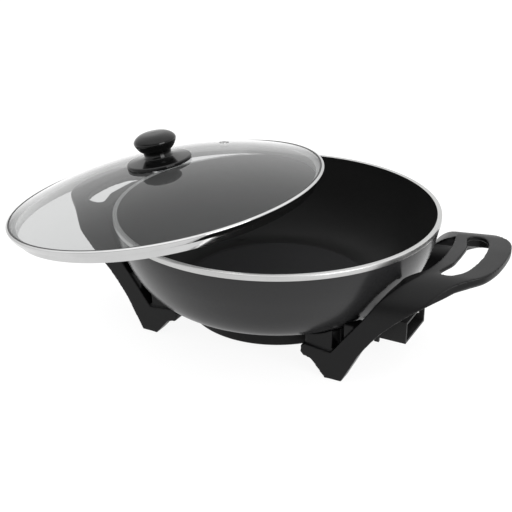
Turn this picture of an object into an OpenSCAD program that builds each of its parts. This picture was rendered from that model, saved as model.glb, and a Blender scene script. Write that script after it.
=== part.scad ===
// Electric wok skillet: a round cast bowl over a heating base, carried by two one-piece
// handle-and-leg mouldings, with a probe socket under one handle and a domed glass lid.
// Millimetres, +Z up. The bowl's axis is the Z axis and the feet stand on Z = 0.
// +X points out through the handle that has the socket under it.
// The lid is parked open: it leans on the bowl's rim, over the -X handle.

/* [Bowl] */
// Outside radius of the rim
rim_r = 170; // [169:0.25:170.5]
// Height of the rim's top face
rim_top = 133; // [132:0.25:133]
// Height of the bare machined band at the rim
rim_band_h = 5.7; // [4:0.1:7]
// Width of the rim's top face
rim_w = 4.7; // [4:0.1:5.5]
// Radius of the flat underside
floor_r = 98.4; // [97:0.2:100]
// Height of the flat underside
floor_z = 42.7; // [42.5:0.1:43.5]
// Thickness of the floor
floor_t = 4; // [3.5:0.1:4.5]

/* [Heating base] */
// Radius of the heat shield under the bowl
cover_r = 94.7; // [93.5:0.1:95]
// Height of the heat shield's underside
cover_z = 20.1; // [19.5:0.1:20.5]
// Sheet thickness of the heat shield
cover_t = 1.2; // [0.8:0.1:1.4]
// Radius of the heating element's loop
element_loop_r = 72; // [70:0.5:74]
// Radius of the heating element's sheath
element_r = 4; // [3.5:0.1:4]

/* [Probe socket] */
// Height of the terminal pins and of the probe hole
socket_z = 36.5; // [36:0.1:36.5]
// Distance of each terminal pin from the probe hole
pin_y = 19; // [18:0.1:19]
// Radius of a terminal pin
pin_r = 2.4; // [2:0.1:2.4]
// Radius of the hole that takes the temperature probe
probe_r = 3.5; // [3:0.1:3.6]
// Outer end of the socket shroud
shroud_x = 158.6; // [157:0.2:160]
// Half of the shroud's width
shroud_y = 27.4; // [27:0.1:28]
// Underside of the shroud
shroud_z = 22.3; // [21:0.1:23]
// Top of the shroud
shroud_top = 46; // [45:0.1:46.5]
// Wall thickness of the shroud
shroud_t = 2.5; // [2:0.1:2.8]

/* [Handles and legs] */
// Half of the distance between the outer faces of a pair of legs
leg_y = 90; // [89.5:0.1:90.5]
// Thickness of a leg, front to back
leg_t = 17; // [16:0.5:20]
// Outer bend radius between the grip and a leg
bend_r = 40; // [38:0.5:42]
// Height of the grip's top face at the middle of the grip
grip_z = 118.2; // [117:0.1:119]
// Thickness of the grip
grip_t = 12; // [11:0.2:13]
// Upward slope of the grip
grip_tilt = 5.6; // [5:0.1:6]
// Radius of the grip's inner edge about the bowl's axis
grip_gap_r = 185; // [184:0.2:186]

/* [Lid] */
// Outside radius of the lid's metal band
lid_r = 170; // [169.8:0.1:170.2]
// Height of the glass dome above the band
dome_h = 31.5; // [31.3:0.1:31.7]
// Thickness of the glass
glass_t = 4; // [3.5:0.1:4]
// Radius of the skirt that drops inside the bowl
skirt_r = 161.3; // [161:0.1:161.5]
// Depth of the skirt
skirt_h = 13.1; // [12:0.1:13.2]
// Distance of the steam vent from the middle of the lid
vent_r = 99; // [95:0.5:105]

/* [Knob] */
// Radius of the knob's cap
knob_r = 22.3; // [21.5:0.1:23]
// Radius of the knob's neck
knob_neck_r = 14.9; // [14:0.1:15.2]
// Radius of the skirt under the knob
knob_skirt_r = 34.4; // [33:0.1:35]

/* [Hidden] */

FINE = 180;
MEDIUM = 64;
SMALL = 36;
GAP = 0.3;      // free space between curved faces that must not touch
FIT = 0.05;     // free space round a screw or pin in its hole

// The bowl's wall swells from the floor to the rim by a rounded power curve.
BELLY_UP = 1.37;
BELLY_OUT = 2.59;
BELLY_STEPS = 22;
belly_r = rim_r - 1;
rim_z = rim_top - rim_band_h;
rim_in_r = rim_r - rim_w;

// Four lid and leg screws sit at plus and minus these places.
leg_screw = [90, 78];
shroud_screw = [110, 33];
cover_screw_r = 55;
clamp_screw_r = 60.5;
clamp_end_r = 82;

// Where the parked lid lies: the middle of its glass edge, and its lean.
lid_at = [-116, -33.2, 140.8];
lid_lean = [1.9, -9.72, 0];
glass_r = lid_r - 2.4;
dome_r = (glass_r * glass_r + pow(dome_h - 1, 2)) / (2 * (dome_h - 1));
vent_turn = 78;
vent_lean = asin(vent_r / dome_r);

BLACK = [0.07, 0.07, 0.07];
CHARCOAL = [0.2, 0.2, 0.21];
STEEL = [0.75, 0.76, 0.78];

function spline_at(a, b, c, d, t) =
    0.5 * (2 * b + (c - a) * t + (2 * a - 5 * b + 4 * c - d) * t * t
    + (3 * b - a - 3 * c + d) * t * t * t);
// A smooth curve through the points p, with n steps from each point to the next.
function spline(p, n = 4) = concat(
    [for (i = [0:len(p) - 2], k = [0:n - 1])
        spline_at(p[max(i - 1, 0)], p[i], p[i + 1], p[min(i + 2, len(p) - 1)], k / n)],
    [p[len(p) - 1]]);
function backwards(p) = [for (i = [len(p) - 1:-1:0]) p[i]];
function across(p) = [for (q = p) [q[0], -q[1]]];

// Points up the bowl's wall, from a floor of radius r0 at height z0 to radius r1 at height z1.
function belly(r0, z0, r1, z1) = [for (i = [0:BELLY_STEPS])
    let (t = pow(i / BELLY_STEPS, 1.8))
    [r0 + (r1 - r0) * pow(1 - pow(1 - t, BELLY_UP), 1 / BELLY_OUT), z0 + (z1 - z0) * t]];

// The bowl's outside, swollen by grow, as one filled solid.
module bowl_body(grow = 0) {
    rotate_extrude($fn = FINE)
        polygon(concat([[0, floor_z - grow]],
                       belly(floor_r + grow, floor_z - grow, belly_r + grow, rim_z),
                       [[rim_r + grow, rim_z + 0.5], [rim_r + grow, rim_top - 0.6],
                        [rim_r + grow - 0.6, rim_top], [0, rim_top]]));
}

module bowl_cavity() {
    rotate_extrude($fn = FINE)
        polygon(concat([[0, floor_z + floor_t]],
                       belly(floor_r - 1, floor_z + floor_t, rim_in_r, rim_top - 0.5),
                       [[rim_in_r + 0.5, rim_top], [rim_in_r + 0.5, rim_top + 5],
                        [0, rim_top + 5]]));
}

module at_leg_screws() {
    for (sx = [-1, 1], sy = [-1, 1])
        translate([sx * leg_screw[0], sy * leg_screw[1], 0]) children();
}

module at_shroud_screws() {
    for (sy = [-1, 1])
        translate([shroud_screw[0], sy * shroud_screw[1], 0]) children();
}

module at_cover_screws() {
    for (a = [90, 210, 330])
        rotate([0, 0, a]) translate([cover_screw_r, 0, 0]) children();
}

module at_clamps() {
    for (a = [60, 180, 300])
        rotate([0, 0, a]) children();
}

// A plain screw, head down: the head ends at height z, and the shank reaches length l above it.
module screw(z, l, shank_r, head_r, head_h) {
    translate([0, 0, z]) cylinder(h = l, r = shank_r, $fn = SMALL);
    difference() {
        translate([0, 0, z - head_h]) cylinder(h = head_h, r = head_r, $fn = SMALL);
        for (a = [0, 90])
            translate([0, 0, z - head_h]) rotate([0, 0, a])
                cube([head_r * 1.2, head_r * 0.28, head_h], center = true);
    }
}

boss_z = 37.6;          // lower face of the bosses that the handles screw to
shroud_ear_z = 38.6;    // upper face of the shroud's ears
cover_boss_z = cover_z + 3.7;
clamp_z = socket_z - element_r - 0.1;
LEG_SHANK = 2.4;
SHROUD_SHANK = 2;
COVER_SHANK = 1.7;
CLAMP_SHANK = 1.5;
WELL_NOTCH_Y = 8.4;

module pan() {
    color(CHARCOAL) difference() {
        union() {
            bowl_body();
            at_leg_screws() translate([0, 0, boss_z]) cylinder(h = 20, r = 7, $fn = MEDIUM);
            at_shroud_screws() translate([0, 0, shroud_ear_z + 0.1]) cylinder(h = 14, r = 4.6, $fn = MEDIUM);
            at_cover_screws() translate([0, 0, cover_boss_z]) cylinder(h = 20, r = 5, $fn = MEDIUM);
            at_clamps() translate([clamp_screw_r, 0, clamp_z]) cylinder(h = 12, r = 4, $fn = MEDIUM);
            // Raised track that presses on the heating element
            rotate_extrude($fn = FINE)
                polygon([[element_loop_r - 5, socket_z + element_r + 0.1],
                         [element_loop_r + 5, socket_z + element_r + 0.1],
                         [element_loop_r + 6, floor_z + 1], [element_loop_r - 6, floor_z + 1]]);
        }
        bowl_cavity();
        // Notch in the track for the probe well
        translate([element_loop_r - 12, -WELL_NOTCH_Y, socket_z])
            cube([24, 2 * WELL_NOTCH_Y, floor_z - socket_z]);
        at_leg_screws() cylinder(h = 46.4, r = LEG_SHANK + FIT, $fn = SMALL);
        at_shroud_screws() cylinder(h = 45.4, r = SHROUD_SHANK + FIT, $fn = SMALL);
        at_cover_screws() cylinder(h = 40, r = COVER_SHANK + FIT, $fn = SMALL);
        at_clamps() translate([clamp_screw_r, 0, 0]) cylinder(h = 42, r = CLAMP_SHANK + FIT, $fn = SMALL);
    }
}

element_end = 96;       // where the sheath ends and the insulator begins
element_turn = asin(pin_y / element_loop_r);

module heating_element() {
    color([0.35, 0.33, 0.32]) {
        translate([0, 0, socket_z]) rotate([0, 0, element_turn])
            rotate_extrude(angle = 360 - 2 * element_turn, $fn = FINE)
                translate([element_loop_r, 0]) circle(r = element_r, $fn = SMALL);
        for (sy = [-1, 1])
            translate([element_loop_r * cos(element_turn) - 1.5, sy * pin_y, socket_z])
                rotate([0, 90, 0])
                    cylinder(h = element_end - element_loop_r * cos(element_turn) + 1.5,
                             r = element_r, $fn = SMALL);
    }
}

module element_clamps() {
    color(STEEL) at_clamps() difference() {
        union() {
            translate([clamp_screw_r - 5, -5, clamp_z - 1]) cube([clamp_end_r - clamp_screw_r + 5, 10, 1]);
            translate([clamp_end_r - 1, -5, clamp_z - 0.5]) cube([1, 10, floor_z - clamp_z]);
        }
        translate([clamp_screw_r, 0, clamp_z - 2]) cylinder(h = 4, r = CLAMP_SHANK + 0.2, $fn = SMALL);
    }
}

module clamp_screws() {
    color(STEEL) at_clamps() translate([clamp_screw_r, 0, 0])
        screw(clamp_z - 1, 9, CLAMP_SHANK, 3, 1.8);
}

shroud_back = 124;      // inner face of the shroud's back wall
pin_start = element_end + 0.2;
pin_shank = pin_r + 0.4;

// Each pin is thicker up to the shroud's back wall, and bare from there to its bevelled tip.
module terminal_pins() {
    shoulder = shroud_back + shroud_t - pin_start;
    long = shroud_x - 3.4 - pin_start;
    color(STEEL) for (sy = [-1, 1]) translate([pin_start, sy * pin_y, socket_z]) rotate([0, 90, 0])
        rotate_extrude($fn = SMALL)
            polygon([[0, 0], [pin_shank, 0], [pin_shank, shoulder], [pin_r, shoulder],
                     [pin_r, long - 1.8], [pin_r - 0.9, long], [0, long]]);
}

module terminal_insulators() {
    color([0.9, 0.88, 0.82]) for (sy = [-1, 1])
        translate([pin_start, sy * pin_y, socket_z]) rotate([0, 90, 0]) difference() {
            union() {
                cylinder(h = 10, r = 4.2, $fn = SMALL);
                cylinder(h = 3, r = 4.4, $fn = SMALL);
            }
            translate([0, 0, -1]) cylinder(h = 12, r = pin_shank + FIT, $fn = SMALL);
        }
}

well_start = 44;
well_bottom = 50;
well_neck = 88;         // where the well narrows to pass through the shroud's neck

module probe_well() {
    color([0.7, 0.7, 0.72]) difference() {
        union() {
            translate([well_start, 0, socket_z]) rotate([0, 90, 0])
                cylinder(h = well_neck - well_start, r = 5.8, $fn = MEDIUM);
            translate([well_neck - 1, 0, socket_z]) rotate([0, 90, 0])
                cylinder(h = shroud_back - GAP - well_neck + 1, r = 4.3, $fn = MEDIUM);
            translate([well_start, -8, socket_z]) cube([20, 16, floor_z - socket_z - 0.1]);
        }
        translate([well_bottom, 0, socket_z]) rotate([0, 90, 0])
            cylinder(h = shroud_back, r = probe_r, $fn = MEDIUM);
    }
}

module socket_shroud() {
    neck_y = 25.5;
    neck_z = 30;
    neck_top = floor_z - 0.4;
    neck_x = 91;
    color(BLACK) difference() {
        union() {
            translate([shroud_back, -shroud_y, shroud_z])
                cube([shroud_x - shroud_back, 2 * shroud_y, shroud_top - shroud_z]);
            translate([neck_x, -neck_y, neck_z])
                cube([shroud_back - neck_x + 1, 2 * neck_y, neck_top - neck_z]);
            for (sy = [-1, 1]) {
                translate([104, sy * 32.4 - 7.6, shroud_ear_z - 2.6]) cube([12, 15.2, 2.6]);
                translate([shroud_back + 1, sy * (shroud_y - 1.5) - 1.5, shroud_z - 5.3]) cube([5, 3, 6]);
            }
        }
        translate([shroud_back + shroud_t, -shroud_y + shroud_t, shroud_z + shroud_t])
            cube([40, 2 * (shroud_y - shroud_t), shroud_top - shroud_z - 2 * shroud_t]);
        translate([neck_x - 1, -neck_y + 1.5, neck_z + 1.5])
            cube([shroud_back - neck_x + 1, 2 * neck_y - 3, neck_top - neck_z - 2.9]);
        for (sy = [-1, 1])
            translate([shroud_back - 0.1, sy * pin_y, socket_z]) rotate([0, 90, 0])
                cylinder(h = 6, r = pin_r + 1, $fn = SMALL);
        translate([shroud_back - 0.1, 0, socket_z]) rotate([0, 90, 0])
            cylinder(h = 6, r = probe_r + 1.5, $fn = SMALL);
        at_shroud_screws() translate([0, 0, 30]) cylinder(h = 12, r = SHROUD_SHANK + 0.2, $fn = SMALL);
    }
}

module shroud_screws() {
    color(STEEL) at_shroud_screws() screw(shroud_ear_z - 2.6, 9, SHROUD_SHANK, 3.6, 2.2);
}

// Sprung strip that bows down from the shroud's ceiling and touches the plug's earth bar.
module earth_contact() {
    steps = 10;
    long = 24;
    bow = 2.6;
    thick = 0.8;
    upper = [for (i = [0:steps]) [long * i / steps, -bow * sin(180 * i / steps)]];
    lower = [for (i = [steps:-1:0]) [long * i / steps, -bow * sin(180 * i / steps) - thick]];
    color(STEEL) translate([shroud_back + shroud_t, 4, shroud_top - shroud_t]) rotate([90, 0, 0])
        linear_extrude(8) polygon(concat(upper, lower));
}

module base_cover() {
    t = cover_t;
    rise = 2.5;
    color(BLACK) difference() {
        rotate_extrude($fn = FINE)
            polygon([[0, cover_z + rise], [62, cover_z + rise], [65, cover_z], [92, cover_z],
                     [cover_r, cover_z + 2.7], [cover_r, floor_z - 0.2], [cover_r - t, floor_z - 0.2],
                     [cover_r - t, cover_z + 3.2], [91.5, cover_z + t], [65.5, cover_z + t],
                     [62.5, cover_z + rise + t], [0, cover_z + rise + t]]);
        translate([80, -25.8, 29.7]) cube([20, 51.6, 20]);
        at_cover_screws() cylinder(h = 40, r = COVER_SHANK + 0.3, $fn = SMALL);
    }
}

module cover_screws() {
    color(STEEL) at_cover_screws() screw(cover_z + 2.5, 15, COVER_SHANK, 3.4, 1.9);
}

// Front view of a leg: a narrow foot that widens into the ledge under the bowl, and a strap
// that sweeps up and out into the grip.
strap_inside = [[104.5, 30], [116.4, 46.6], [134, 70.6], [150.5, 94.8], [164.8, 108.3], [180, 116.4]];
strap_outside = [[116.2, 0.6], [125.6, 19.1], [135.4, 37.4], [154.5, 63], [175.8, 83.8],
                 [193.5, 97], [214, 107.5]];
leg_view = concat([[102.2, 0.6], [86.5, 19.4], [82.5, 20.9], [73, 21.2], [69.6, 24.5], [71, 31], [77, 33]],
                  spline(strap_inside), [[186, 119], [186, 140], [255, 140], [255, 112.5], [232, 110.5]],
                  backwards(spline(strap_outside)));

GAP_Y = 45;             // half of the length of the gap between the rim and the grip
PLATE_T = 4.5;          // thickness of the grip's inner bar

// Plan view of half of the grip's outer edge, from its middle to the leg.
grip_edge = [[243.4, 0], [242.3, 20], [238, 38.5], [231, 49.5], [214.3, 64.4], [204, 74.3],
             [194, 83.2], [184, 87.3], [176, 89.4], [160, 92]];
grip_view = concat([[50, 96], [50, -96]], backwards(across(spline(grip_edge))), spline(grip_edge));

// Plan view of half of the finger hole, from the bowl's side round to the outside.
hole_edge = [[199.9, 0], [199, 20], [195.6, 32], [192.8, 42], [195.5, 47.4], [200.6, 49.2],
             [207, 47.8], [213, 42], [217.6, 31], [220.2, 16], [221.2, 0]];
hole_view = concat(spline(hole_edge), backwards(across(spline(hole_edge))));

// Plan view of half of the hollow under the grip: the grip's inner bar is a plate above it.
hollow_edge = [[188, 46], [191, 51.5], [197, 54], [204, 53.5], [212, 49.5], [218.5, 39],
               [222.6, 21], [224, 0]];
hollow_view = concat([[160, -GAP_Y], [160, GAP_Y]], spline(hollow_edge),
                     backwards(across(spline(hollow_edge))));

// Inverted U with rounded shoulders: half width w, top at height 0, shoulder radius r.
module arch_view(w, top, r) {
    deep = 190;
    translate([-w, -deep]) square([2 * w, deep + top - r]);
    translate([-(w - r), top - r - 1]) square([2 * (w - r), r + 1]);
    for (s = [-1, 1])
        translate([s * (w - r), top - r]) circle(r = r, $fn = FINE);
}

module arch() {
    translate([200, 0, grip_z]) rotate([0, -grip_tilt, 0]) translate([-190, 0, 0])
        rotate([90, 0, 90]) linear_extrude(260) difference() {
            arch_view(leg_y, 0, bend_r);
            arch_view(leg_y - leg_t, -grip_t, bend_r - grip_t);
        }
}

pad_at = [104.2, -87.5];
pad_size = [10.4, 12.5, 2.6];

module foot_pad(grow) {
    for (sy = [-1, 1])
        translate([pad_at[0] - grow, sy * (pad_at[1] + pad_size[1] / 2) - pad_size[1] / 2 - grow, 0])
            cube([pad_size[0] + 2 * grow, pad_size[1] + 2 * grow, pad_size[2]]);
}

module handle_unit() {
    boss_clear = 7.4;
    color(BLACK) difference() {
        union() {
            intersection() {
                arch();
                rotate([90, 0, 0]) linear_extrude(200, center = true) polygon(leg_view);
                translate([0, 0, -1]) linear_extrude(150) polygon(grip_view);
            }
            for (sy = [-1, 1]) {
                // Block under the bowl that the screw goes through
                translate([76, sy * 75 - 12.5, 25]) cube([28.8, 25, 32]);
                // Rib between the strap and the bowl
                translate([116.5, sy * 79 - 8.5, 46.8]) cube([13, 17, 17]);
                // Web that stiffens the block
                translate([103, sy * 64.5 - 2, 25]) cube([13, 4, 34]);
            }
        }
        // Room for the bowl and the heating base
        bowl_body(0.5);
        cylinder(h = floor_z, r = cover_r + 0.6, $fn = FINE);
        // Gap between the rim and the grip
        translate([0, 0, 96]) intersection() {
            cylinder(h = 40, r = grip_gap_r, $fn = FINE);
            translate([100, -GAP_Y, 0]) cube([100, 2 * GAP_Y, 40]);
        }
        translate([200, 0, grip_z]) rotate([0, -grip_tilt, 0]) translate([-200, 0, -40 - PLATE_T])
            linear_extrude(40) polygon(hollow_view);
        translate([0, 0, 80]) linear_extrude(60) polygon(hole_view);
        for (sy = [-1, 1]) translate([leg_screw[0], sy * leg_screw[1], 0]) {
            cylinder(h = 30, r = 5.3, $fn = SMALL);
            cylinder(h = 50, r = LEG_SHANK + 0.4, $fn = SMALL);
            translate([0, 0, boss_z - 0.1]) cylinder(h = 30, r = boss_clear, $fn = MEDIUM);
        }
        foot_pad(FIT);
    }
}

module handle_right() {
    handle_unit();
}

module handle_left() {
    mirror([1, 0, 0]) handle_unit();
}

module handle_screws() {
    color(STEEL) at_leg_screws() screw(30, 16, LEG_SHANK, 4.7, 3);
}

module foot_pads() {
    color([0.1, 0.1, 0.1]) for (m = [0, 1]) mirror([m, 0, 0]) foot_pad(0);
}

module parked() {
    translate(lid_at) rotate(lid_lean) children();
}

// Places a thing on the dome's outer face at the steam vent, square to the glass.
module at_vent() {
    translate([0, 0, dome_h - dome_r]) rotate([0, 0, vent_turn]) rotate([0, vent_lean, 0])
        translate([0, 0, dome_r]) children();
}

module lid_glass() {
    color([0.75, 0.8, 0.8, 0.4]) parked() difference() {
        intersection() {
            translate([0, 0, dome_h - dome_r]) sphere(r = dome_r, $fn = 360);
            translate([0, 0, -20]) cylinder(h = 80, r = glass_r, $fn = FINE);
        }
        translate([0, 0, dome_h - dome_r]) sphere(r = dome_r - glass_t, $fn = 360);
        cylinder(h = 60, r = 4.2, $fn = SMALL);
        at_vent() translate([0, 0, -10]) cylinder(h = 20, r = 4, $fn = SMALL);
    }
}

// Pressed steel band: a channel round the glass edge, and a skirt that drops inside the bowl.
module lid_rim() {
    t = 0.8;
    under = -4.2;
    color(STEEL) parked() rotate_extrude($fn = FINE)
        polygon([[skirt_r - t, -skirt_h], [skirt_r, -skirt_h], [skirt_r, under], [lid_r - 1.9, under],
                 [lid_r - 1.3, under + 0.6], [lid_r, 0.8], [lid_r - 0.5, 1.8], [lid_r - 3.6, 2.8],
                 [lid_r - 3.6, 2.05], [lid_r - 1.2, 1.2], [lid_r - t, 0.8],
                 [lid_r - 2.1, under + t], [skirt_r - t, under + t]]);
}

module vent_grommet() {
    lip = 5.6;
    tube = 3.9;
    bore = 2.2;
    color(STEEL) parked() at_vent() difference() {
        union() {
            translate([0, 0, 0.15]) cylinder(h = 0.8, r1 = lip, r2 = lip - 0.8, $fn = SMALL);
            translate([0, 0, -glass_t - 0.8]) cylinder(h = glass_t + 1, r = tube, $fn = SMALL);
            translate([0, 0, -glass_t - 0.95]) cylinder(h = 0.8, r1 = lip - 0.8, r2 = lip, $fn = SMALL);
        }
        translate([0, 0, -10]) cylinder(h = 20, r = bore, $fn = SMALL);
    }
}

knob_seat = dome_h + 7;     // where the cap's neck stands on the skirt

module knob_cap() {
    waist = spline([[knob_neck_r, knob_seat + 0.05], [knob_neck_r - 0.5, knob_seat + 2.5],
                    [knob_neck_r + 0.1, knob_seat + 5.5], [knob_neck_r + 3, knob_seat + 8.2],
                    [knob_r - 1.3, knob_seat + 12.2], [knob_r, knob_seat + 16.6],
                    [knob_r - 1.6, knob_seat + 20.4], [knob_r * 0.62, knob_seat + 23.8],
                    [0, knob_seat + 25.4]], 4);
    color(BLACK) parked() difference() {
        rotate_extrude($fn = MEDIUM) polygon(concat([[0, knob_seat + 0.05]], waist));
        translate([0, 0, knob_seat - 1]) cylinder(h = 14, r = LEG_SHANK + FIT, $fn = SMALL);
    }
}

module knob_skirt() {
    flare = [[knob_neck_r + 0.9, knob_seat], [knob_neck_r + 1.3, knob_seat - 0.6],
             [24, knob_seat - 2.1], [knob_skirt_r - 1, knob_seat - 3.7],
             [knob_skirt_r, knob_seat - 4.6], [knob_skirt_r - 0.2, knob_seat - 7.4]];
    color(BLACK) parked() difference() {
        rotate_extrude($fn = MEDIUM)
            polygon(concat([[0, dome_h + 0.4], [0, knob_seat]], flare,
                           [[knob_skirt_r - 1, dome_h - 0.7], [20, dome_h]]));
        cylinder(h = 60, r = LEG_SHANK + 0.4, $fn = SMALL);
    }
}

gasket_z = dome_h - glass_t - 1.6;
washer_z = gasket_z - 1.3;

module knob_screw() {
    color(STEEL) parked() screw(washer_z - 0.05, 26, LEG_SHANK, 4.8, 3);
}

module ring(z, h, r) {
    translate([0, 0, z]) difference() {
        cylinder(h = h, r = r, $fn = MEDIUM);
        translate([0, 0, -1]) cylinder(h = h + 2, r = LEG_SHANK + 0.3, $fn = SMALL);
    }
}

module knob_washer() {
    color(STEEL) parked() ring(washer_z, 1.2, 9);
}

module knob_gasket() {
    color([0.25, 0.25, 0.25]) parked() ring(gasket_z, 1.4, 11);
}

pan();
heating_element();
element_clamps();
clamp_screws();
terminal_pins();
terminal_insulators();
probe_well();
socket_shroud();
shroud_screws();
earth_contact();
base_cover();
cover_screws();
handle_right();
handle_left();
handle_screws();
foot_pads();
lid_glass();
lid_rim();
vent_grommet();
knob_cap();
knob_skirt();
knob_screw();
knob_washer();
knob_gasket();
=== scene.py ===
import math

import bmesh
import bpy
import numpy as np
from mathutils import Matrix, Vector


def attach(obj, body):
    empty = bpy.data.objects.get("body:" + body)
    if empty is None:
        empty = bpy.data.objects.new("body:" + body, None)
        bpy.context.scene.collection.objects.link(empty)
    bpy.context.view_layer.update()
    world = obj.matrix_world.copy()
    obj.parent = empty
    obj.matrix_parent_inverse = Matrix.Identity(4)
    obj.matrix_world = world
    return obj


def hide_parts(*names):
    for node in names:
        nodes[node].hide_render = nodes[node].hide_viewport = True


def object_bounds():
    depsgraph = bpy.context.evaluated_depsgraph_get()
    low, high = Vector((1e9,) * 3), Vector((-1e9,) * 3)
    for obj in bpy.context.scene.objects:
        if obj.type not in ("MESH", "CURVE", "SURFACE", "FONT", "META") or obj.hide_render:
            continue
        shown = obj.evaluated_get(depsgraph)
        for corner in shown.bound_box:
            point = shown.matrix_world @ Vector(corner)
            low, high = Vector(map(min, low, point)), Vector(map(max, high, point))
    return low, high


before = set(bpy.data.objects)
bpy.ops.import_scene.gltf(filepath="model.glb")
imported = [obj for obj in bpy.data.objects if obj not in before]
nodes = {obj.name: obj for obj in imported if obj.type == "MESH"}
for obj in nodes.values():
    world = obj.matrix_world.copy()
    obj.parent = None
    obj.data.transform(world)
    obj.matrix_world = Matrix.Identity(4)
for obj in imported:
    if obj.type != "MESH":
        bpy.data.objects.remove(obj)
cad_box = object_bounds()

# Electric wok skillet: a cast bowl on a heating base, two handle-and-leg mouldings, and a domed
# glass lid parked on the rim. +X points to the handle with the socket, and -Y to the front.
scene = bpy.context.scene


# ---------------------------------------------------------------- sizes

# Lengths are in millimetres, and MM turns them into metres. Heights are above the table, except on
# the lid, where they run along its own axis from SKIRT_H above the band's lower edge.
MM = 0.001

# Bowl
RIM_R = 170.0
RIM_IN_R = 165.3
RIM_TOP = 133.0
BARE_H = 5.7
FLOOR_R = 98.4
FLOOR_Z = 42.7
FLOOR_T = 4.0

# The wall goes out by (1 - (1 - up) ** BELLY_UP) ** (1 / BELLY_OUT) as it goes up, both from 0 to 1.
# BELLY_CROWD draws its rings together near the floor, where it turns fastest.
BELLY_UP = 1.37
BELLY_OUT = 2.59
BELLY_CROWD = 2.2
BELLY_STEPS = 56

# The ridge under the floor that the heating element lies against. TRACK_SIDE runs out from the
# ridge's middle and up from its lower face.
TRACK_R = 72.0
TRACK_Z = 40.6
TRACK_SIDE = [(4, 0), (4.6, 0.3), (5.6, 1.6), (6.4, 2.5)]

# The right handle from above, from the grip's outermost point round to the leg. GRIP_UNDER is the
# height of the grip's underside over X, and GRIP_ROUND is its edge's radius over X. The left handle
# mirrors them.
GRIP_EDGE = [(243.4, 0), (242.3, 20), (238, 38.5), (231, 49.5), (214.3, 64.4), (204, 74.3), (194, 83.2),
             (184, 87.3)]
GRIP_START = 190
GRIP_UNDER = ((193.5, 214, 232, 255), (97, 107.5, 110.5, 112.5))
GRIP_ROUND = ((203, 226), (0.5, 6.5))

# A leg's inner outline near the toe in side view, as the CAD has it and as the moulding has it, and
# how far out and up the change reaches.
TOE_CAD = [(102.2, 0.6), (86.5, 19.4), (82.5, 20.9), (73, 21.2), (69.6, 24.5), (71, 31)]
TOE_MOULDED = [(98.6, 0.2), (83.5, 17.8), (81, 18.8), (75.2, 19.3), (71.8, 23), (72.4, 30.4)]
TOE_END = 104
TOE_TOP = 33

# Base cover: its side wall and underside, where its pressed corner starts, and how far the real
# corner lies outward and downward of the CAD's
COVER_R = 94.7
COVER_Z = 20.2
COVER_CORNER_R = 91
COVER_CORNER_Z = 23.1
COVER_CORNER_OUT = 1.5
COVER_CORNER_DOWN = 1.1

# Lid: GROUND_W is the width of the glass's dark ground edge, and the skirt is the band's lower part
LID_R = 170.0
GLASS_R = 167.6
GLASS_T = 4.0
GLASS_HOLE_R = 4.2
GROUND_W = 2.2
DOME_H = 31.5
DOME_R = (GLASS_R ** 2 + (DOME_H - 1) ** 2) / (2 * (DOME_H - 1))
SKIRT_R = 161.3
SKIRT_H = 13.1
BAND_T = 0.8
BAND_UNDER = -4.2

# Knob and the guard under it
KNOB_SEAT = DOME_H + 7
KNOB_R = 22.3
KNOB_H = 25.5
KNOB_BORE_R = 2.45
KNOB_BORE_H = 13
NECK_R = 14.9
GUARD_R = 34.4
GUARD_BORE_R = 2.8


# ---------------------------------------------------------------- outlines and meshes

def spline(points, steps):
    """A smooth Catmull-Rom curve through points, with that many steps between neighbours."""
    out = []
    for i in range(len(points) - 1):
        a, b = points[max(i - 1, 0)], points[i]
        c, d = points[i + 1], points[min(i + 2, len(points) - 1)]
        for k in range(steps):
            t = k / steps
            out.append(tuple(
                0.5 * (2 * q + (r - p) * t + (2 * p - 5 * q + 4 * r - s) * t * t
                       + (3 * q - p - 3 * r + s) * t ** 3)
                for p, q, r, s in zip(a, b, c, d)))
    out.append(tuple(points[-1]))
    return out


def rounded(corners):
    """An outline from corners (x, y, radius): each corner with a radius becomes an arc."""
    steps = 5
    out = []
    count = len(corners)
    for i, (x, y, radius) in enumerate(corners):
        here = Vector((x, y))
        before = Vector(corners[i - 1][:2]) - here
        after = Vector(corners[(i + 1) % count][:2]) - here
        if radius <= 0 or i in (0, count - 1):
            out.append((x, y))
            continue
        before.normalize()
        after.normalize()
        half = before.angle(after) / 2
        reach = radius / math.tan(half)
        centre = here + (before + after).normalized() * (radius / math.sin(half))
        start = here + before * reach - centre
        end = here + after * reach - centre
        turn = start.angle_signed(end)
        for k in range(steps + 1):
            arm = start.copy()
            arm.rotate(Matrix.Rotation(-turn * k / steps, 2))
            out.append(tuple(centre + arm))
    return out


def new_piece(name, mesh, materials):
    """A linked object with its materials."""
    piece = bpy.data.objects.new(name, mesh)
    scene.collection.objects.link(piece)
    if mesh.materials:
        mesh.materials.clear()
    for m in materials:
        mesh.materials.append(m)
    return piece


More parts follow.
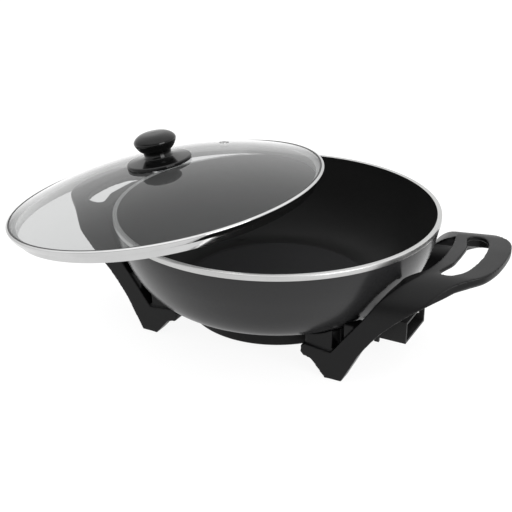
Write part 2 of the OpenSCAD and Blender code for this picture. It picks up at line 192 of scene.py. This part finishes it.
def lathe(name, outline, materials, steps, finish_of=None, place=None, closed=False):
    """Turns an outline of (radius, height) about Z. finish_of(r, z) picks one of the materials."""
    bm = bmesh.new()
    rings = []
    for r, z in outline:
        if r == 0:
            rings.append([bm.verts.new((0, 0, z * MM))])
            continue
        turns = [math.tau * k / steps for k in range(steps)]
        rings.append([bm.verts.new((r * MM * math.cos(a), r * MM * math.sin(a), z * MM)) for a in turns])
    pairs = list(zip(range(len(rings) - 1), range(1, len(rings))))
    if closed:
        pairs.append((len(rings) - 1, 0))
    for i, j in pairs:
        a, b = rings[i], rings[j]
        if len(a) == len(b) == 1:
            continue
        middle = ((outline[i][0] + outline[j][0]) / 2, (outline[i][1] + outline[j][1]) / 2)
        index = finish_of(*middle) if finish_of else 0
        for k in range(steps):
            n = (k + 1) % steps
            if len(a) == 1:
                corners = (a[0], b[n], b[k])
            elif len(b) == 1:
                corners = (a[k], a[n], b[0])
            else:
                corners = (a[k], a[n], b[n], b[k])
            face = bm.faces.new(corners)
            face.material_index = index
    bmesh.ops.recalc_face_normals(bm, faces=bm.faces)
    mesh = bpy.data.meshes.new(name)
    bm.to_mesh(mesh)
    bm.free()
    piece = new_piece(name, mesh, materials)
    shade(piece)
    if place is not None:
        piece.matrix_world = place
    return piece


def shade(piece, angle=32):
    """Smooth shading that keeps corners sharper than that many degrees crisp."""
    piece.data.shade_smooth()
    piece.data.set_sharp_from_angle(angle=math.radians(angle))


def applied(piece):
    """Makes the result of a piece's modifiers its own mesh."""
    bpy.context.view_layer.update()
    graph = bpy.context.evaluated_depsgraph_get()
    mesh = bpy.data.meshes.new_from_object(piece.evaluated_get(graph))
    piece.modifiers.clear()
    old = piece.data
    piece.data = mesh
    bpy.data.meshes.remove(old)


def merged(name, parts, materials):
    """One piece from several, which are used up."""
    bm = bmesh.new()
    for part in parts:
        mesh = part.data.copy()
        mesh.transform(part.matrix_world)
        bm.from_mesh(mesh)
        bpy.data.meshes.remove(mesh)
        bpy.data.objects.remove(part)
    mesh = bpy.data.meshes.new(name)
    bm.to_mesh(mesh)
    bm.free()
    piece = new_piece(name, mesh, materials)
    shade(piece)
    return piece


def moulded(node, name, material, voxel, passes):
    """A copy of a CAD node with its edges rounded as a moulding's are."""
    piece = new_piece(name, nodes[node].data.copy(), [material])
    grid = piece.modifiers.new("grid", "REMESH")
    grid.mode = "VOXEL"
    grid.voxel_size = voxel * MM
    soften = piece.modifiers.new("soften", "SMOOTH")
    soften.factor = 0.5
    soften.iterations = passes
    applied(piece)
    piece.data.shade_smooth()
    return piece


def bevelled(node, name, material, width):
    """A copy of a flat-sided CAD node with small rounded edges."""
    piece = new_piece(name, nodes[node].data.copy(), [material])
    bm = bmesh.new()
    bm.from_mesh(piece.data)
    bmesh.ops.remove_doubles(bm, verts=bm.verts, dist=0.002 * MM)
    bmesh.ops.dissolve_limit(bm, angle_limit=math.radians(1), verts=bm.verts, edges=bm.edges)
    bm.to_mesh(piece.data)
    bm.free()
    edges = piece.modifiers.new("edges", "BEVEL")
    edges.width = width * MM
    edges.segments = 3
    edges.limit_method = "ANGLE"
    edges.angle_limit = math.radians(40)
    applied(piece)
    shade(piece)
    return piece


def settle(piece, body, slot, *stands_for):
    """Puts a piece on the body it rides on and hides the CAD nodes it stands for. The slot argument is not
    used.
    """
    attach(piece, body)
    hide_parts(*stands_for)


def turned_frame(node, lowest):
    """The place of a turned CAD node: Z along its axis, and its lowest plane at height lowest. Its
    axis is the direction in which its surface is scattered unlike in the two others."""
    mesh = nodes[node].data
    centre = Vector()
    total = 0
    scatter = np.zeros((3, 3))
    for face in mesh.polygons:
        centre += face.center * face.area
        total += face.area
    centre /= total
    for face in mesh.polygons:
        arm = np.array(face.center - centre)
        scatter += face.area * np.outer(arm, arm)
    values, directions = np.linalg.eigh(scatter)
    odd = 0 if values[1] - values[0] > values[2] - values[1] else 2
    up = Vector(directions[:, odd])
    if up.z < 0:
        up.negate()
    side = (Vector((1, 0, 0)) - up * up.x).normalized()
    turn = Matrix((side, up.cross(side), up)).transposed()
    foot = min((v.co - centre).dot(up) for v in mesh.vertices)
    return Matrix.Translation(centre + up * (foot - lowest * MM)) @ turn.to_4x4()


# ---------------------------------------------------------------- shader nodes

def add(tree, kind, values=None, **settings):
    """A shader node with its settings, its values and its links."""
    made = tree.nodes.new(kind)
    for key, value in settings.items():
        setattr(made, key, value)
    for key, value in (values or {}).items():
        if isinstance(value, bpy.types.NodeSocket):
            tree.links.new(value, made.inputs[key])
        else:
            made.inputs[key].default_value = value
    return made


def maths(tree, operation, *values):
    """The result of an operation on values and sockets."""
    return add(tree, "ShaderNodeMath", dict(enumerate(values)), operation=operation).outputs[0]


def ramp(tree, value, start, end, low=0.0, high=1.0):
    """Maps start..end onto low..high, and holds the value beyond."""
    return add(tree, "ShaderNodeMapRange", {"Value": value, "From Min": start, "From Max": end,
                                            "To Min": low, "To Max": high}).outputs["Result"]


def spread(tree, noise, low, high):
    """Maps the usual range of noise onto low..high."""
    return ramp(tree, noise, 0.3, 0.7, low, high)


def grain(tree, scale, detail=2.0, stretch=(1, 1, 1)):
    """Noise over the object's own coordinates, with features about 1 / scale metres across."""
    place = add(tree, "ShaderNodeTexCoord")
    sized = add(tree, "ShaderNodeMapping", {"Vector": place.outputs["Object"], "Scale": stretch})
    return add(tree, "ShaderNodeTexNoise",
               {"Vector": sized.outputs["Vector"], "Scale": scale, "Detail": detail}).outputs["Fac"]


def radius_of(tree):
    """Distance from the object's own Z axis."""
    place = add(tree, "ShaderNodeTexCoord")
    flat = add(tree, "ShaderNodeVectorMath", {0: place.outputs["Object"], 1: (1, 1, 0)}, operation="MULTIPLY")
    return add(tree, "ShaderNodeVectorMath", {0: flat.outputs[0]}, operation="LENGTH").outputs["Value"]


def height_of(tree):
    """Height along the object's own Z axis."""
    place = add(tree, "ShaderNodeTexCoord")
    return add(tree, "ShaderNodeSeparateXYZ", {0: place.outputs["Object"]}).outputs["Z"]


def blend(tree, share, one, other):
    """A colour between two colours."""
    mix = add(tree, "ShaderNodeMix", data_type="RGBA")
    colours = [s for s in mix.inputs if s.type == "RGBA"]
    for socket, colour in zip(colours, (one, other)):
        socket.default_value = (*colour, 1)
    tree.links.new(share, next(s for s in mix.inputs if s.name == "Factor"))
    return next(s for s in mix.outputs if s.type == "RGBA")


def bump(tree, height, distance):
    """A normal from a height of 0..1, distance in millimetres."""
    return add(tree, "ShaderNodeBump", {"Height": height, "Distance": distance * MM}).outputs["Normal"]


def blank(name):
    """A new material and its empty shader tree."""
    m = bpy.data.materials.new(name)
    m.use_nodes = True
    m.node_tree.nodes.clear()
    return m, m.node_tree


def show(tree, shader):
    """Makes a shader the material's surface."""
    add(tree, "ShaderNodeOutputMaterial", {"Surface": shader.outputs[0]})


# ---------------------------------------------------------------- materials

def finish(name, dark, light, rough, grain_scale, bump_mm, metal=0.0, coat=0.0, coat_rough=0.1,
           specular=0.5, stretch=(1, 1, 1)):
    """A plain surface with fine grain: colour and roughness vary a little, and the grain has relief."""
    m, tree = blank(name)
    fine = grain(tree, grain_scale, 3.0, stretch)
    broad = grain(tree, 28)
    show(tree, add(tree, "ShaderNodeBsdfPrincipled", {
        "Base Color": blend(tree, spread(tree, fine, 0, 1), dark, light),
        "Metallic": metal,
        "Roughness": spread(tree, broad, *rough),
        "Specular IOR Level": specular,
        "Coat Weight": coat,
        "Coat Roughness": coat_rough,
        "Normal": bump(tree, fine, bump_mm),
    }))
    return m


def turned_metal(name, colour, rough, pitch, bump_mm):
    """Metal with fine lines that run round the object's axis, about pitch millimetres apart."""
    m, tree = blank(name)
    along = maths(tree, "SUBTRACT", radius_of(tree), height_of(tree))
    lines = add(tree, "ShaderNodeTexNoise", {"W": along, "Scale": 1 / (pitch * MM), "Detail": 3.0},
                noise_dimensions="1D").outputs["Fac"]
    cloud = grain(tree, 40)
    show(tree, add(tree, "ShaderNodeBsdfPrincipled", {
        "Base Color": blend(tree, spread(tree, cloud, 0, 1), tuple(0.93 * c for c in colour), colour),
        "Metallic": 1.0,
        "Roughness": spread(tree, lines, *rough),
        "Normal": bump(tree, lines, bump_mm),
    }))
    return m


def gloss_shaded_below(m, low, high):
    """Painted shade: fades a surface's gloss out downward, from full at height high to none at height low."""
    tree = m.node_tree
    shader = next(n for n in tree.nodes if n.type == "BSDF_PRINCIPLED")
    for key in ("Specular IOR Level", "Coat Weight"):
        full = shader.inputs[key].default_value
        level = ramp(tree, height_of(tree), low * MM, high * MM, 0.0, full)
        tree.links.new(level, shader.inputs[key])


def clear_glass(name, tint=0.69, haze_share=0.052, face_mirror=0.004, steep_mirror=1.25, steepness=5.0):
    """Tempered glass with a faint grey body. It mirrors the room by face_mirror where it is seen
    square on, and by steep_mirror more as the view grazes it."""
    m, tree = blank(name)
    waves = grain(tree, 14, 1.0)
    normal = bump(tree, waves, 0.05)
    body = add(tree, "ShaderNodeBsdfTransparent", {"Color": (tint, tint + 0.004, tint + 0.004, 1)})
    haze = add(tree, "ShaderNodeBsdfPrincipled", {
        "Base Color": (0.62, 0.63, 0.63, 1), "Roughness": 0.35, "Specular IOR Level": 0.3})
    mirror = add(tree, "ShaderNodeBsdfGlossy", {
        "Color": (1, 1, 1, 1), "Roughness": spread(tree, waves, 0.02, 0.035), "Normal": normal})
    milky = add(tree, "ShaderNodeMixShader", {0: haze_share, 1: body.outputs[0], 2: haze.outputs[0]})
    tilt = add(tree, "ShaderNodeLayerWeight", {"Blend": 0.5, "Normal": normal}).outputs["Facing"]
    share = maths(tree, "MULTIPLY_ADD", maths(tree, "POWER", tilt, steepness), steep_mirror, face_mirror)
    show(tree, add(tree, "ShaderNodeMixShader", {0: share, 1: milky.outputs[0], 2: mirror.outputs[0]}))
    return m


def clear_back(name):
    """The inner face of the glass: light passes, dimmed a little, with faint clouds in the body."""
    m, tree = blank(name)
    cloud = spread(tree, grain(tree, 14, 1.0), 0, 1)
    show(tree, add(tree, "ShaderNodeBsdfTransparent", {
        "Color": blend(tree, cloud, (0.772, 0.776, 0.776), (0.784, 0.788, 0.788))}))
    return m


coat = finish("charcoal_coat", (0.012, 0.012, 0.0125), (0.020, 0.020, 0.0205), (0.21, 0.26), 2600, 0.004,
              coat=0.15, coat_rough=0.14, specular=0.2)
# painted shade: the coat's gloss fades toward the base, so the low wall darkens as if it mirrored a shadowed
# floor
gloss_shaded_below(coat, low=42, high=96)
nonstick = finish("black_nonstick", (0.004, 0.004, 0.004), (0.009, 0.009, 0.009), (0.40, 0.48), 1500, 0.004,
                  specular=0.12)
bare = turned_metal("machined_rim", (0.52, 0.52, 0.515), (0.24, 0.36), 0.35, 0.006)
phenolic = finish("black_phenolic", (0.002, 0.002, 0.0022), (0.005, 0.005, 0.0052), (0.32, 0.40), 1300, 0.02,
                  specular=0.19)
socket_black = finish("socket_black", (0.005, 0.005, 0.005), (0.010, 0.010, 0.010), (0.40, 0.5), 1300, 0.02,
                      specular=0.2)
knob_black = finish("knob_gloss", (0.002, 0.002, 0.002), (0.004, 0.004, 0.004), (0.10, 0.14), 500, 0.003,
                    specular=0.3)
enamel = finish("black_enamel", (0.003, 0.003, 0.003), (0.007, 0.007, 0.007), (0.30, 0.38), 900, 0.01,
                specular=0.12)
polished = turned_metal("polished_steel", (0.55, 0.55, 0.55), (0.06, 0.12), 0.5, 0.002)
satin = turned_metal("satin_steel", (0.80, 0.80, 0.80), (0.42, 0.55), 0.4, 0.002)
vent_steel = turned_metal("vent_steel", (0.42, 0.42, 0.42), (0.14, 0.22), 0.3, 0.002)
glass = clear_glass("lid_glass")
glass_back = clear_back("lid_glass_inside")
edge_grey = finish("ground_glass_edge", (0.020, 0.020, 0.020), (0.035, 0.035, 0.035), (0.35, 0.45), 900, 0.01,
                   specular=0.3)
sheath = finish("element_sheath", (0.16, 0.14, 0.13), (0.30, 0.28, 0.26), (0.4, 0.55), 700, 0.02, metal=1.0)
spring = finish("spring_steel", (0.45, 0.45, 0.46), (0.62, 0.62, 0.63), (0.26, 0.36), 900, 0.005, metal=1.0,
                stretch=(1, 8, 1))
zinc = finish("zinc_screw", (0.48, 0.48, 0.50), (0.66, 0.66, 0.68), (0.28, 0.40), 1200, 0.006, metal=1.0)
nickel = finish("nickel_pin", (0.70, 0.69, 0.67), (0.84, 0.83, 0.81), (0.12, 0.2), 1400, 0.003, metal=1.0)
steatite = finish("steatite", (0.74, 0.71, 0.64), (0.86, 0.84, 0.78), (0.6, 0.75), 1600, 0.02)
# Painted shade: the probe well's bare casting is a dark grey, for the shadow inside the socket where it sits
cast = finish("bare_casting_painted_shade", (0.20, 0.20, 0.20), (0.30, 0.30, 0.30), (0.45, 0.6), 1100, 0.03, metal=1.0)
rubber = finish("foot_rubber", (0.018, 0.018, 0.018), (0.030, 0.030, 0.030), (0.75, 0.9), 1800, 0.04)
silicone = finish("silicone", (0.16, 0.16, 0.16), (0.22, 0.22, 0.22), (0.55, 0.7), 1500, 0.02)


# ---------------------------------------------------------------- camera

# What the camera and the lamps look at, in metres
AIM = Vector((0, 0, 60.1 * MM))

CAMERA_TURN = 27.42
CAMERA_RISE = 25.44
CAMERA_AWAY = 1040.65 * MM
CAMERA_LENS = 68.12
CAMERA_SHIFT_X = -0.0416
CAMERA_SHIFT_Y = 0.0239


def bearing(turn, rise):
    """A direction out from the object, in degrees: turn goes from the front to the right."""
    a = math.radians(turn)
    e = math.radians(rise)
    return Vector((math.sin(a) * math.cos(e), -math.cos(a) * math.cos(e), math.sin(e)))


def aimed(name, data, turn, rise, away):
    """A camera or a lamp on a bearing, away metres from AIM, that looks back at it."""
    back = bearing(turn, rise)
    thing = bpy.data.objects.new(name, data)
    thing.location = AIM + back * away
    thing.rotation_mode = "QUATERNION"
    thing.rotation_quaternion = (-back).to_track_quat("-Z", "Y")
    scene.collection.objects.link(thing)
    return thing


def make_camera():
    """The main camera, which looks down from the front right."""
    data = bpy.data.cameras.new("camera")
    data.lens = CAMERA_LENS
    data.sensor_width = 36
    data.shift_x = CAMERA_SHIFT_X
    data.shift_y = CAMERA_SHIFT_Y
    data.clip_start = 0.05
    data.clip_end = 100
    scene.camera = aimed("camera", data, CAMERA_TURN, CAMERA_RISE, CAMERA_AWAY)


make_camera()


# ---------------------------------------------------------------- light and floor

# The sky brightens upward from SKY_LOW to SKY_HIGH. Low down on the camera's side it is dimmed, which
# keeps the dark fronts dark, and a white band at the horizon keeps every background white. Heights in
# the sky are the Z of a direction of length 1, and DIM_SIDE is its share toward the camera's side.
SKY_LOW = 0.7
SKY_HIGH = 1.6
SKY_HIGH_AT = 0.85
DIM_SHARE = 0.92
DIM_HEIGHT = (0.30, 0.60)
DIM_SIDE = (0.1, 0.55)
HORIZON_HEIGHT = (0.12, 0.20)

FLOOR_HALF = 30.0
FLOOR_GLOW = 0.91


def make_sky():
    """White studio light by direction."""
    world = bpy.data.worlds.new("studio")
    scene.world = world
    world.use_nodes = True
    sky = world.node_tree
    sky.nodes.clear()
    way = add(sky, "ShaderNodeTexCoord").outputs["Generated"]
    rise = add(sky, "ShaderNodeSeparateXYZ", {0: way}).outputs["Z"]
    toward = add(sky, "ShaderNodeVectorMath", {0: way, 1: bearing(CAMERA_TURN, 0)},
                 operation="DOT_PRODUCT").outputs["Value"]
    level = ramp(sky, rise, 0.0, SKY_HIGH_AT, SKY_LOW, SKY_HIGH)
    side = ramp(sky, toward, *DIM_SIDE)
    low = ramp(sky, rise, *DIM_HEIGHT, DIM_SHARE, 0.0)
    kept = maths(sky, "SUBTRACT", 1.0, maths(sky, "MULTIPLY", side, low))
    horizon = ramp(sky, rise, *HORIZON_HEIGHT, 1.0, 0.0)
    strength = maths(sky, "MAXIMUM", maths(sky, "MULTIPLY", level, kept), horizon)
    light = add(sky, "ShaderNodeBackground", {"Color": (1, 1, 1, 1), "Strength": strength})
    add(sky, "ShaderNodeOutputWorld", {"Surface": light.outputs[0]})
    scene.view_settings.view_transform = "Standard"


def make_floor():
    """A pale plain floor under the feet, which glows to white and still takes a faint shadow."""
    mesh = bpy.data.meshes.new("floor")
    low = cad_box[0].z
    corners = [(x * FLOOR_HALF, y * FLOOR_HALF, low) for x, y in ((-1, -1), (1, -1), (1, 1), (-1, 1))]
    mesh.from_pydata(corners, [], [(0, 1, 2, 3)])
    m, tree = blank("pale_floor")
    cloud = grain(tree, 3)
    show(tree, add(tree, "ShaderNodeBsdfPrincipled", {
        "Base Color": blend(tree, spread(tree, cloud, 0, 1), (0.12, 0.12, 0.12), (0.13, 0.13, 0.13)),
        "Roughness": 0.9,
        "Specular IOR Level": 0.0,
        "Emission Color": (1, 1, 1, 1),
        "Emission Strength": FLOOR_GLOW,
    }))
    new_piece("floor", mesh, [m])


def softbox(name, turn, rise, away, width, height, power):
    """An area light on a bearing that looks at the object, in metres and watts."""
    data = bpy.data.lights.new(name, "AREA")
    data.shape = "RECTANGLE"
    data.size = width
    data.size_y = height
    data.energy = power
    return aimed(name, data, turn, rise, away)


make_sky()
make_floor()
overhead = softbox("overhead", turn=200, rise=62, away=2.2, width=1.8, height=1.8, power=40)
overhead.visible_glossy = False
softbox("key", turn=68, rise=16, away=1.7, width=0.95, height=0.8, power=14)


# ---------------------------------------------------------------- bowl

def thirds(radius, first):
    """Three places round the bowl's axis, the first at that many degrees from +X."""
    turns = [math.radians(first + k * 120) for k in range(3)]
    return [(radius * math.cos(a), radius * math.sin(a)) for a in turns]


# The screw bosses under the bowl: their places, lower face, radius and hole radius.
HANDLE_BOSSES = ([(90 * i, 78 * j) for i in (-1, 1) for j in (-1, 1)], 37.6, 7, 2.45)
SHROUD_BOSSES = ([(110, 33 * j) for j in (-1, 1)], 38.7, 4.6, 2.05)
COVER_BOSSES = (thirds(55, 90), 23.8, 5, 1.75)
CLAMP_BOSSES = (thirds(60.5, 60), 32.4, 4, 1.55)


def belly(r0, z0, r1, z1):
    """Points up a wall that swells from (r0, z0) at the floor to (r1, z1) at the rim."""
    out = []
    for i in range(BELLY_STEPS + 1):
        up = (i / BELLY_STEPS) ** BELLY_CROWD
        share = (1 - (1 - up) ** BELLY_UP) ** (1 / BELLY_OUT)
        out.append((r0 + (r1 - r0) * share, z0 + (z1 - z0) * up))
    return out


def boss(x, y, bottom, top, r, hole):
    """A round screw boss with a chamfered mouth, a blind hole and a flared foot."""
    outline = [(0, bottom + 4), (hole, bottom + 4), (hole, bottom + 0.4), (hole + 0.4, bottom),
               (r - 0.6, bottom), (r - 0.15, bottom + 0.2), (r, bottom + 0.7), (r + 0.1, top - 1.4),
               (r + 0.5, top - 0.5), (r + 1.4, top)]
    return lathe("boss", outline, [coat], 40, place=Matrix.Translation((x * MM, y * MM, 0)))


def make_bowl():
    """The coated casting with its bare rim, nonstick inside, element track and screw bosses."""
    outside = belly(FLOOR_R, FLOOR_Z, RIM_R - 1, RIM_TOP - BARE_H)
    inside = belly(FLOOR_R - 1, FLOOR_Z + FLOOR_T, RIM_IN_R, RIM_TOP - 0.5)
    shoulder = outside[-1]
    lip = rounded([(*shoulder, 0), (RIM_R, shoulder[1] + 0.5, 0.3), (RIM_R, RIM_TOP, 0.9),
                   (RIM_IN_R, RIM_TOP, 0.4), (*inside[-2], 0)])
    outline = [(0, FLOOR_Z)] + outside[:-1] + lip + inside[:-2][::-1] + [(0, FLOOR_Z + FLOOR_T)]

    def wall_middle(r):
        """Height of the middle of the wall's thickness at radius r."""
        low = np.interp(r, [p[0] for p in outside], [p[1] for p in outside])
        high = np.interp(r, [p[0] for p in inside], [p[1] for p in inside])
        return (low + high) / 2

    def inner_side(r, z):
        """Whether a point lies on the wall's inner side or the floor's upper side."""
        return any(abs(r - p[0]) + abs(z - p[1]) < 6 for p in inside) and z > wall_middle(r)

    def finish_of(r, z):
        """1 is the bare rim, 2 the nonstick inside, and 0 the coat."""
        if z > RIM_TOP - BARE_H and r > RIM_IN_R + 0.1:
            return 1
        return 2 if r < RIM_IN_R + 0.1 and z > FLOOR_Z + 1 and inner_side(r, z) else 0

    parts = [lathe("bowl_wall", outline, [coat], 320, finish_of)]
    track = [(TRACK_R - out, TRACK_Z + up) for out, up in TRACK_SIDE[::-1]]
    track += [(TRACK_R + out, TRACK_Z + up) for out, up in TRACK_SIDE]
    parts.append(lathe("track", track, [coat], 160))
    for places, bottom, r, hole in (HANDLE_BOSSES, SHROUD_BOSSES, COVER_BOSSES, CLAMP_BOSSES):
        for x, y in places:
            top = FLOOR_Z + (1 if math.hypot(x, y) < FLOOR_R else 6)
            parts.append(boss(x, y, bottom, top, r, hole))
    settle(merged("bowl", parts, [coat, bare, nonstick]), "root", "cast_aluminium", "pan")


make_bowl()


# ---------------------------------------------------------------- handles, socket, feet and base cover

def eased_grip(piece):
    """Rounds the lower outer edge of a handle's grip, as far as the legs. A point of the corner that
    lies outside the rounding's quarter circle is drawn in to it."""
    edge = spline(GRIP_EDGE, 12)
    edge = np.array([(x, -y) for x, y in edge[:0:-1]] + edge)
    along = np.gradient(edge, axis=0)
    inward = np.column_stack((-along[:, 1], along[:, 0]))
    inward /= np.linalg.norm(inward, axis=1)[:, None]
    for v in piece.data.vertices:
        x, y, z = v.co / MM
        way = 1 if x > 0 else -1
        x *= way
        if x < GRIP_START:
            continue
        i = int(np.argmin((edge[:, 0] - x) ** 2 + (edge[:, 1] - y) ** 2))
        full = np.interp(x, *GRIP_ROUND)
        depth = max(float(inward[i] @ (np.array((x, y)) - edge[i])), 0)
        rise = max(z - float(np.interp(x, *GRIP_UNDER)), 0)
        reach = math.hypot(full - depth, full - rise)
        if depth >= full or rise >= full or reach <= full:
            continue
        share = 1 - full / reach
        x, y = np.array((x, y)) + inward[i] * (full - depth) * share
        v.co = Vector((way * x, y, z + (full - rise) * share)) * MM
    piece.data.update()


def eased_toe(piece):
    """Moves a leg's surface from its CAD outline to the moulded one. The move fades out 1 to 6 mm
    from the outline, and just before the leg's outer side."""
    was = np.array(TOE_CAD)
    now = np.array(TOE_MOULDED)
    step = np.diff(was, axis=0)
    length = (step ** 2).sum(axis=1)
    for v in piece.data.vertices:
        x, y, z = v.co / MM
        way = 1 if x > 0 else -1
        here = np.array((x * way, z))
        if here[0] > TOE_END or z > TOE_TOP:
            continue
        share = np.clip(((here - was[:-1]) * step).sum(axis=1) / length, 0, 1)
        gap = np.linalg.norm(here - was[:-1] - share[:, None] * step, axis=1)
        i = int(np.argmin(gap))
        move = (1 - share[i]) * (now - was)[i] + share[i] * (now - was)[i + 1]
        move *= np.interp(gap[i], (1, 6), (1, 0)) * np.interp(here[0], (TOE_END - 1.4, TOE_END - 0.2), (1, 0))
        v.co += Vector((way * move[0], 0, move[1])) * MM
    piece.data.update()


def make_cover():
    """The base cover with the pressed corner of a real pan: tighter and a little deeper."""
    cover = new_piece("pressed_base_cover", nodes["base_cover"].data.copy(), [enamel])
    for v in cover.data.vertices:
        x, y, z = v.co / MM
        r = math.hypot(x, y)
        if r < COVER_CORNER_R or z > COVER_CORNER_Z:
            continue
        on_wall = r > COVER_R - 0.3
        new_r = COVER_R if on_wall else r + COVER_CORNER_OUT
        new_z = COVER_Z if on_wall else z - COVER_CORNER_DOWN
        v.co = Vector((x * new_r / r, y * new_r / r, new_z)) * MM
    cover.data.update()
    shade(cover, 50)
    settle(cover, "root", "black_enamel", "base_cover")


for side in ("right", "left"):
    handle = moulded(f"handle_{side}", f"moulded_handle_{side}", phenolic, voxel=1.0, passes=4)
    eased_grip(handle)
    eased_toe(handle)
    settle(handle, "root", "phenolic", f"handle_{side}")

socket = bevelled("socket_shroud", "socket_housing", socket_black, width=0.35)
settle(socket, "root", "socket_black", "socket_shroud")
feet = bevelled("foot_pads", "foot_pad_set", rubber, width=0.6)
settle(feet, "root", "foot_rubber", "foot_pads")
make_cover()


# ---------------------------------------------------------------- lid

lid_place = turned_frame("lid_rim", -SKIRT_H)


def dome(r, radius):
    """Height of a sphere of that radius that shares the dome's centre."""
    return DOME_H - DOME_R + math.sqrt(radius ** 2 - r ** 2)


def make_glass():
    """The domed glass, with a dark ground edge and a hole for the knob's screw."""
    count = 64
    ground = GLASS_R - GROUND_W
    reach = [GLASS_HOLE_R + (ground - GLASS_HOLE_R) * k / count for k in range(count + 1)]
    outer = [(r, dome(r, DOME_R)) for r in reach + [GLASS_R - 0.6]]
    inner = [(r, dome(r, DOME_R - GLASS_T)) for r in reach]
    top = outer[-1][1]
    foot = inner[-1][1]
    edge = [(GLASS_R - 0.15, top - 0.35), (GLASS_R, top - 1.0), (GLASS_R, foot + 0.9),
            (GLASS_R - 0.2, foot + 0.25)]

    def finish_of(r, z):
        """1 is the ground edge, 0 the outer face and 2 the inner face."""
        if r > ground:
            return 1
        return 0 if z > dome(r, DOME_R - GLASS_T / 2) else 2

    piece = lathe("glass_dome", outer + edge + inner[::-1], [glass, edge_grey, glass_back], 256, finish_of,
                  lid_place, closed=True)
    settle(piece, "lid", "lid_glass", "lid_glass")


def make_band():
    """The rolled steel band that holds the glass, with a skirt below it."""
    outline = rounded([
        (SKIRT_R - BAND_T, -SKIRT_H, 0.3), (SKIRT_R, -SKIRT_H, 0.3), (SKIRT_R, BAND_UNDER, 0.7),
        (LID_R - 1.6, BAND_UNDER, 0.7), (LID_R, 0.9, 1.0), (LID_R - 2.7, 2.2, 0.5), (LID_R - 2.7, 1.5, 0.2),
        (LID_R - BAND_T - 0.4, 0.6, 0.3), (LID_R - 2.1, BAND_UNDER + BAND_T, 0.4),
        (SKIRT_R - BAND_T, BAND_UNDER + BAND_T, 0.5)])

    def finish_of(r, z):
        """1 is the satin inner side, and 0 the polished outer side."""
        behind_glass = BAND_UNDER + 0.3 < z < 0.5 and r < LID_R - 1.7
        return 1 if r < SKIRT_R - 0.2 or behind_glass else 0

    piece = lathe("lid_band", outline, [polished, satin], 320, finish_of, lid_place, closed=True)
    settle(piece, "lid", "polished_steel", "lid_rim")


def make_knob():
    """The knob's mushroom-shaped grip, with its screw bore."""
    side = spline([
        (NECK_R, KNOB_SEAT + 0.05), (NECK_R - 0.5, KNOB_SEAT + 2.5), (NECK_R + 0.1, KNOB_SEAT + 5.5),
        (NECK_R + 2.9, KNOB_SEAT + 7.8), (KNOB_R - 2.2, KNOB_SEAT + 10.9), (KNOB_R, KNOB_SEAT + 15.8),
        (KNOB_R - 1.1, KNOB_SEAT + 19.2), (KNOB_R - 4.8, KNOB_SEAT + 22.4), (KNOB_R * 0.52, KNOB_SEAT + 24.5),
        (0, KNOB_SEAT + KNOB_H)], 9)
    bore = [(0, KNOB_SEAT + KNOB_BORE_H), (KNOB_BORE_R, KNOB_SEAT + KNOB_BORE_H),
            (KNOB_BORE_R, KNOB_SEAT + 0.05)]
    grip = lathe("knob_grip", bore + side, [knob_black], 128, place=lid_place)
    settle(grip, "lid", "knob_black", "knob_cap")


def make_guard():
    """The round guard between the knob and the glass."""
    outline = rounded([
        (GUARD_BORE_R, KNOB_SEAT, 0), (NECK_R + 0.9, KNOB_SEAT, 0.25), (NECK_R + 1.3, KNOB_SEAT - 0.6, 0.3),
        (24, KNOB_SEAT - 2.1, 8), (GUARD_R - 1, KNOB_SEAT - 3.7, 1.0), (GUARD_R, KNOB_SEAT - 4.6, 0.5),
        (GUARD_R - 0.2, KNOB_SEAT - 7.4, 0.3), (GUARD_R - 1, DOME_H - 0.7, 0.3), (20, DOME_H, 0),
        (GUARD_BORE_R, DOME_H + 0.4, 0)])
    guard = lathe("knob_guard", outline, [knob_black], 160, place=lid_place, closed=True)
    settle(guard, "lid", "knob_black", "knob_skirt")


make_glass()
make_band()
make_knob()
make_guard()


# ---------------------------------------------------------------- finishes of the carried-over CAD parts

for name, material in {
    "heating_element": sheath, "element_clamps": spring, "clamp_screws": zinc, "terminal_pins": nickel,
    "terminal_insulators": steatite, "probe_well": cast, "shroud_screws": zinc, "earth_contact": spring,
    "cover_screws": zinc, "handle_screws": zinc, "vent_grommet": vent_steel, "knob_screw": zinc,
    "knob_washer": spring, "knob_gasket": silicone,
}.items():
    node = nodes[name]
    node.data.materials.clear()
    node.data.materials.append(material)
